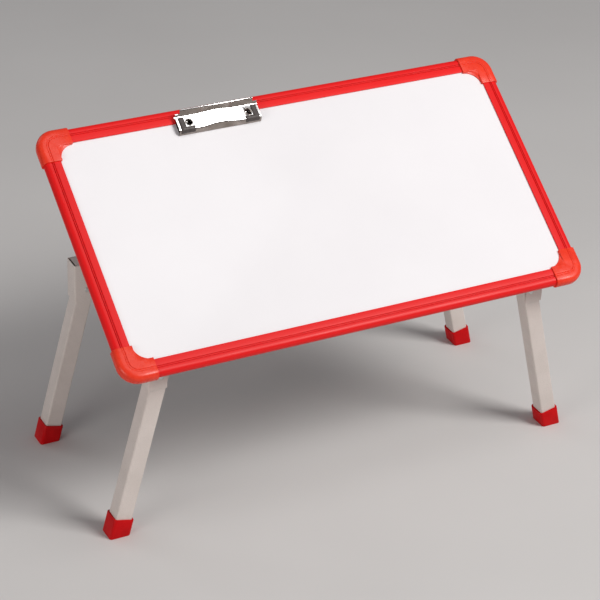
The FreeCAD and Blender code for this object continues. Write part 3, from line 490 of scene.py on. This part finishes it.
def cap_web():
    """Web over the white corner: it rises from a hollowed edge to the inside of the elbow."""
    radius = CAP_ARM - CAP_WALL
    rise = PROFILE_RISE + CAP_WALL - 0.25 - CAP_WEB
    least, edge, foot = 0.6, 0.4, 0.02
    steps, parts = 24, 8
    loops = []
    for step in range(steps + 1):
        angle = math.radians(2 + 86 * step / steps)
        reach = (CAP_ARM - least) / max(math.cos(angle), math.sin(angle))
        room = max(reach - radius, least)
        outline = [(0.0, foot), (0.0, CAP_WEB - 0.35), (0.12, CAP_WEB - 0.1), (edge, CAP_WEB)]
        for k in range(1, parts + 1):
            out = edge + (room - edge) * k / parts
            share = min(out / WEB_SLOPE, 1)
            outline.append((out, CAP_WEB + rise * share * share * (3 - 2 * share)))
        outline.append((room, foot))
        loops.append([(-CAP_ARM + (radius + out) * math.cos(angle),
                       -CAP_ARM + (radius + out) * math.sin(angle), height) for out, height in outline])
    return loft(loops)


def make_cap(corner):
    """Corner cap: the drawn elbow and web, mirrored to its corner."""
    right, rear = CORNERS[corner]
    place = Matrix.Translation((right * HALF_WHITE, WHITE_WIDTH if rear > 0 else 0, 0))
    place = place @ Matrix.Diagonal((right, rear, 1, 1))
    piece("elbow_cap_" + corner, joined([cap_sleeve(), cap_web()]), BOARD @ place, CAP,
          "board", ["corner_cap_" + corner])


# ---- feet ----
def square(half, rounding):
    """Outline of a square with rounded corners."""
    return rounded([(-half, -half, rounding), (half, -half, rounding), (half, half, rounding),
                    (-half, half, rounding)], 6)


def make_foot(end, side):
    """Foot cap: square to the leg at its mouth, and level on the floor with a shallow groove."""
    leg = "leg_" + end + "_" + side
    pivot = Vector(JOINTS["leg_fold_" + end + "_" + side]["pos_m"]) / MM
    lean = SPLAY if side == "right" else -SPLAY
    low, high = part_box("foot_cap_" + end + "_" + side)
    middle_y = (low.y + high.y) / 2 / MM
    half = LEG_SIZE / 2 + FOOT_WALL
    down = Vector((math.sin(lean), 0, -math.cos(lean)))
    across = Vector((math.cos(lean), 0, math.sin(lean)))
    axis_point = Vector((pivot.x, middle_y, pivot.z))
    top = (pivot.z - FOOT_HEIGHT) / math.cos(lean)

    def ring(inset, height=None, along=None):
        """Loop round the leg, level at a height or square at a distance along the leg."""
        points = []
        for spot in square(half - inset, FOOT_ROUNDING - min(inset, 2.0)):
            base = axis_point + across * spot.x + Vector((0, spot.y, 0))
            if along is not None:
                points.append(base + down * along)
            else:
                points.append(base + down * ((base.z - height) / math.cos(lean)))
        return points

    loops = [ring(FOOT_WALL - 0.1, along=top + 1.2), ring(FOOT_WALL - 0.1, along=top + 0.1),
             ring(FOOT_WALL - 0.5, along=top), ring(0.35, along=top), ring(0.1, along=top + 0.12),
             ring(0.0, along=top + 0.4), ring(0.0, height=1.0), ring(0.12, height=0.4),
             ring(0.5, height=0.08), ring(1.2, height=0.0), ring(4.0, height=0.0),
             ring(4.4, height=0.6), ring(7.0, height=0.6), ring(7.4, height=0.0), ring(9.0, height=0.0)]
    piece("rubber_foot_" + end + "_" + side, loft(loops), FLAT, FOOT, leg,
          ["foot_cap_" + end + "_" + side])


# ---- leg brackets ----
def make_bracket(end, side):
    """U-shaped bracket that is open towards the leg's fold, with eased edges."""
    node = "leg_bracket_" + end + "_" + side
    low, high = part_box(node)
    low, high = low / MM, high / MM
    outer, inner = (high.x, low.x) if side == "right" else (low.x, high.x)
    facing = 1 if side == "right" else -1
    wall = BRACKET_WALL
    loops = []
    edge = BRACKET_EDGE
    for height, inset in ((low.z, edge), (low.z + edge, 0), (high.z - edge, 0), (high.z, edge)):
        near, far = low.y + inset, high.y - inset
        tip = inner + facing * inset
        skin = outer - facing * inset
        thick = wall - 2 * inset
        corners = [(tip, near, 0.1), (skin, near, 2.0), (skin, far, 2.0), (tip, far, 0.1),
                   (tip, far - thick, 0.1), (skin - facing * thick, far - thick, 1.0),
                   (skin - facing * thick, near + thick, 1.0), (tip, near + thick, 0.1)]
        loops.append([(point.x, point.y, height) for point in rounded(corners, 5)])
    piece("pressed_bracket_" + end + "_" + side, loft(loops), FLAT, PAINT, "base", [node])


# ---- paper clip ----
def normals(line):
    """Unit vectors to the left of an open line, at each of its points."""
    last = len(line) - 1
    runs = [line[min(i + 1, last)] - line[max(i - 1, 0)] for i in range(last + 1)]
    return [Vector((-run.y, run.x)).normalized() for run in runs]


def thickened(line, inner, outer):
    """Closed outline along an open line, between two distances on its left-hand side."""
    pairs = list(zip(line, normals(line)))
    near = [point + normal * inner for point, normal in pairs]
    return near + [point + normal * outer for point, normal in reversed(pairs)]


def swell(x):
    """Smooth hump over the middle of the jaw, from 0 at its ends to 1."""
    return math.cos(math.pi / 2 * min(abs(x) / HUMP_REACH, 1)) ** 2


def jaw_line(x):
    """Centre line of the jaw sheet in the Y-Z plane at a distance from its middle."""
    front = WHITE_WIDTH - JAW_FRONT
    rear = WHITE_WIDTH + LIP_REAR
    run = JAW_RUN + HUMP_FRONT * swell(x)
    lip_run = LIP_RUN - HUMP_REAR * swell(x)
    return rounded([(front, JAW_FRONT_HEIGHT, 0), (front + run, JAW_MIDDLE, JAW_BEND),
                    (rear - lip_run, JAW_MIDDLE, LIP_BEND), (rear, LIP_HEIGHT, 0)], 8)


def upright_cylinder(x, y, low, high, radius):
    """Round solid between two heights."""
    turns = [2 * math.pi * k / WINDOW_SIDES for k in range(WINDOW_SIDES)]
    return loft([[(x + radius * math.cos(turn), y + radius * math.sin(turn), height) for turn in turns]
                 for height in (low, high)])


def slab(x, y, z):
    """Box between two places on each axis."""
    return loft([[(x[0], y[0], h), (x[1], y[0], h), (x[1], y[1], h), (x[0], y[1], h)] for h in z])


def carved(mesh_data, cutters):
    """Vertices and faces of a solid with others cut out of it."""
    body = solid("carved", mesh_data)
    tools = [solid("cutter", cutter) for cutter in cutters]
    for tool in tools:
        modifier = body.modifiers.new("cut", "BOOLEAN")
        modifier.object = tool
        modifier.solver = "EXACT"
    result = body.evaluated_get(bpy.context.evaluated_depsgraph_get()).to_mesh()
    vertices = [tuple(vertex.co) for vertex in result.vertices]
    faces = [tuple(face.vertices) for face in result.polygons]
    for thing in [body] + tools:
        bpy.data.objects.remove(thing)
    return vertices, faces


def jaw_plate():
    """Pressed jaw with humped edges, two round windows and a rear lip shorter than the plate."""
    steps = 48
    loops = []
    for i in range(steps + 1):
        x = -CLIP_HALF + 2 * CLIP_HALF * i / steps
        loops.append([(x, point.x, point.y)
                      for point in thickened(jaw_line(x), -CLIP_SHEET / 2, CLIP_SHEET / 2)])
    bend = WHITE_WIDTH + LIP_REAR - LIP_RUN
    past, behind, highest = LIP_CUT
    cutters = []
    for side in (-1, 1):
        cutters.append(upright_cylinder(side * WINDOW_OFFSET, WHITE_WIDTH - WINDOW_PLACE,
                                        JAW_MIDDLE - WINDOW_CUT, JAW_MIDDLE + WINDOW_CUT, WINDOW_RADIUS))
        ends = sorted((side * (CLIP_HALF - LIP_INSET), side * (CLIP_HALF + past)))
        cutters.append(slab(ends, (bend, bend + behind), (JAW_MIDDLE + LIP_TAB_RISE, highest)))
    return carved(loft(loops), cutters)


def lip_bead():
    """Rolled edge along the top of the rear lip."""
    half = CLIP_HALF - LIP_INSET
    loops = []
    for x, radius in ((-half, 0.5), (-half + 0.15, 0.72), (-half + 0.45, LIP_BEAD),
                      (half - 0.45, LIP_BEAD), (half - 0.15, 0.72), (half, 0.5)):
        loops.append([(x, WHITE_WIDTH + LIP_REAR + radius * math.cos(math.pi * k / 8),
                       LIP_HEIGHT + radius * math.sin(math.pi * k / 8)) for k in range(16)])
    return loft(loops)


def jaw_ear(side):
    """Ear that hangs from the end of the jaw round its pin."""
    near = CLIP_HALF - CLIP_EAR_INSET
    radius = CLIP_EAR_RADIUS
    outline = [(CLIP_PIN_PLACE + radius, JAW_MIDDLE), (CLIP_PIN_PLACE - radius, JAW_MIDDLE)]
    for k in range(13):
        angle = math.pi + math.pi * k / 12
        outline.append((CLIP_PIN_PLACE + radius * math.cos(angle),
                        CLIP_PIN_HEIGHT + radius * math.sin(angle)))
    ends = sorted((side * near, side * (near - CLIP_SHEET)))
    return loft([[(x, WHITE_WIDTH + y, z) for y, z in outline] for x in ends])


def window_rim(side):
    """Pressed rim round a window of the jaw, in the darker chrome of painted dark reflection."""
    x, y = side * WINDOW_OFFSET, WHITE_WIDTH - WINDOW_PLACE
    top = JAW_MIDDLE + CLIP_SHEET / 2
    section = ((0.0, -0.7), (0.0, 0.1), (0.15, 0.26), (0.4, 0.32), (0.65, 0.26), (0.85, 0.04),
               (0.85, -0.1))
    loops = []
    for k in range(WINDOW_SIDES):
        angle = 2 * math.pi * k / WINDOW_SIDES
        ring = []
        for out, height in section:
            radius = WINDOW_RADIUS - RIM_INSET + out
            ring.append((x + radius * math.cos(angle), y + radius * math.sin(angle), top + height))
        loops.append(ring)
    return loft(loops, closed=True)


def padded_strip(x, line, height):
    """Soft pad on the outer side of a line, from x to x, rounded off all round."""
    across = 14
    base = CLIP_SHEET / 2
    pairs = list(zip(line, normals(line)))
    lengths = [0.0]
    for before, here in zip(line, line[1:]):
        lengths.append(lengths[-1] + (here - before).length)
    loops = []
    for i in range(across + 1):
        share = (1 - math.cos(math.pi * i / across)) / 2
        here = x[0] + (x[1] - x[0]) * share
        edge = min(here - x[0], x[1] - here)
        loop = []
        for length, (point, normal) in zip(lengths, pairs):
            lift = 1.0
            for distance in (edge, min(length, lengths[-1] - length)):
                near = min(distance / GRIP_ROUNDING, 1)
                lift *= GRIP_RIM + (1 - GRIP_RIM) * math.sqrt(1 - (1 - near) ** 2)
            spot = point + normal * (base + height * lift)
            loop.append((here, spot.x, spot.y))
        for point, normal in reversed(pairs):
            spot = point + normal * (base - 0.1)
            loop.append((here, spot.x, spot.y))
        loops.append(loop)
    return loft(loops)


def divided(line, step=0.4):
    """Line with points added so that none are further apart than a step."""
    points = [line[0]]
    for a, b in zip(line, line[1:]):
        parts = max(1, math.ceil((b - a).length / step))
        points += [a.lerp(b, k / parts) for k in range(1, parts + 1)]
    return points


def grip(side):
    """L-shaped rubber grip over a front corner of the jaw."""
    line = divided(jaw_line(CLIP_HALF))
    front = WHITE_WIDTH - JAW_FRONT - CLIP_SHEET
    rear = WHITE_WIDTH + CLIP_PIN_PLACE
    foot_line = [point for point in line if point.x < front + GRIP_DEPTH and point.y > GRIP_FOOT_LOW]
    arm_line = [point for point in line if front + GRIP_ARM_START < point.x < rear]
    near = CLIP_HALF - GRIP_END_GAP
    foot_x = sorted((side * near, side * (near - GRIP_LENGTH)))
    near -= GRIP_ARM_STEP
    arm_x = sorted((side * near, side * (near - GRIP_ARM_WIDTH)))
    return joined([padded_strip(foot_x, foot_line, GRIP_FOOT_PAD),
                   padded_strip(arm_x, arm_line, GRIP_ARM_PAD)])


def make_clip():
    """Jaw with its lip, ears and window rims, and the two grips; faces that face away from up, and the
    rims, take the darker chrome of painted shade.
    """
    place = BOARD @ Matrix.Translation((CLIP_CENTRE, 0, 0))
    parts = [jaw_plate(), lip_bead()]
    parts += [jaw_ear(side) for side in (-1, 1)]
    rims = joined([window_rim(side) for side in (-1, 1)])
    # The rims use the darker chrome: a painted dark reflection
    piece("jaw_window_rims", rims, place, CHROME_PAINTED_SHADE, "clip_jaw")
    jaw = piece("pressed_clip_jaw", joined(parts), place, CHROME, "clip_jaw", ["clip_jaw"])
    jaw.data.materials.append(CHROME_PAINTED_SHADE)
    # Faces that face up less than the limit take the darker chrome: painted shade and painted dark
    # reflection on the lip, walls and ears
    upward = (BOARD.to_3x3() @ Vector((0, 0, 1))).normalized()
    for face in jaw.data.polygons:
        if face.normal.dot(upward) < PAINTED_SHADE_BELOW:
            face.material_index = 1
    for side, name in ((-1, "left"), (1, "right")):
        piece("rubber_grip_" + name, grip(side), place, RUBBER, "clip_jaw", ["clip_grips"])


for side in SIDES:
    make_profile(side)
for corner in CORNERS:
    make_cap(corner)
for end in ("front", "rear"):
    for side in ("left", "right"):
        make_foot(end, side)
        make_bracket(end, side)
make_clip()

# ---- finishes of the CAD pieces that stay ----
LEGS = ["leg_" + end + "_" + side for end in ("front", "rear") for side in ("left", "right")]
FINISHES = (
    (WHITE, ["writing_surface"]),
    (FIBRE, ["core_panel"]),
    (BACKING, ["back_sheet"]),
    (CHROME, ["clip_base"]),
    (PAINT, ["front_rail", "rear_rail", "cross_member_left", "cross_member_right"] + LEGS),
    (ZINC, ["corner_cap_screws", "clip_rivets", "clip_hinge_pin", "clip_spring", "leg_pivot_rivets",
            "hinge_board_leaves", "hinge_board_rivets", "hinge_rail_leaves", "hinge_rail_rivets",
            "hinge_pins", "prop_arm_left", "prop_arm_right", "prop_foot_bar", "foot_bar_retainers",
            "prop_brackets", "prop_bracket_rivets", "prop_pivot_pins"]),
)
for material, nodes in FINISHES:
    for node in nodes:
        paint_node(node, material)


# ---- floor, lights and camera ----
FLOOR_HALF = 8.0
CAMERA_ANGLES = (28.37, 29.62, 2.42)      # azimuth, elevation and roll, in degrees
CAMERA_FROM_HINGE = Vector((-1.0661, -1.8427, 1.2182))
CAMERA_LENS = 132.6


def area_light(name, place, aim, size, power, tint):
    """Rectangular light at a place, aimed at a point; metres and watts."""
    light = bpy.data.lights.new(name, "AREA")
    light.shape = "RECTANGLE"
    light.size, light.size_y = size
    light.energy = power
    light.color = tint
    lamp = bpy.data.objects.new(name, light)
    lamp.location = place
    lamp.rotation_euler = (Vector(aim) - Vector(place)).to_track_quat("-Z", "Y").to_euler()
    bpy.context.scene.collection.objects.link(lamp)


def make_floor():
    """Plain pale floor under the object."""
    material, tree, shader = start("pale_floor", Roughness=0.75)
    cloud = spread(tree, field(tree, 400, EVEN, 0, 3), 0, 1)
    colour_by(tree, shader, cloud, (0.60, 0.585, 0.575), (0.63, 0.615, 0.605))
    half = FLOOR_HALF
    corners = [(-half, -half, 0), (half, -half, 0), (half, half, 0), (-half, half, 0)]
    floor = solid("studio_floor", (corners, [(0, 1, 2, 3)]))
    floor.data.materials.append(material)


def make_world():
    """Dim, even, nearly white surroundings."""
    world = bpy.data.worlds.new("studio")
    world.use_nodes = True
    background = world.node_tree.nodes["Background"]
    background.inputs["Color"].default_value = (0.97, 0.96, 1.0, 1)
    background.inputs["Strength"].default_value = 0.18
    bpy.context.scene.world = world


def make_camera():
    """Camera at the viewing angle of the object's picture, placed from the board's hinge line."""
    azimuth, elevation, roll = (math.radians(angle) for angle in CAMERA_ANGLES)
    forward = Vector((math.sin(azimuth) * math.cos(elevation), math.cos(azimuth) * math.cos(elevation),
                      -math.sin(elevation)))
    level = Vector((math.cos(azimuth), -math.sin(azimuth), 0))
    upright = level.cross(forward)
    right = level * math.cos(roll) + upright * math.sin(roll)
    up = upright * math.cos(roll) - level * math.sin(roll)
    data = bpy.data.cameras.new("camera")
    data.sensor_width = 36.0
    data.lens = CAMERA_LENS
    camera = bpy.data.objects.new("camera", data)
    turn = Matrix((right, up, -forward)).transposed().to_4x4()
    camera.matrix_world = Matrix.Translation(HINGE + CAMERA_FROM_HINGE) @ turn
    bpy.context.scene.collection.objects.link(camera)
    bpy.context.scene.camera = camera


make_floor()
make_world()
make_camera()
area_light("key_softbox", (1.45, -1.75, 2.5), (0, 0, 0.3), (1.2, 1.2), 80, (1.0, 0.985, 0.965))
area_light("top_softbox", (0.30, -0.32, 2.2), (0, 0.02, 0.3), (0.8, 0.7), 4.6, (1.0, 0.99, 0.98))
area_light("left_fill", (-2.3, -1.0, 0.8), (0, 0, 0.15), (1.2, 0.8), 17, (1.0, 0.97, 0.94))
area_light("back_fill", (-1.2, 1.9, 1.6), (0, 0, 0.25), (1.2, 1.2), 5, (0.96, 0.98, 1.0))
bpy.context.scene.view_settings.view_transform = "Standard"
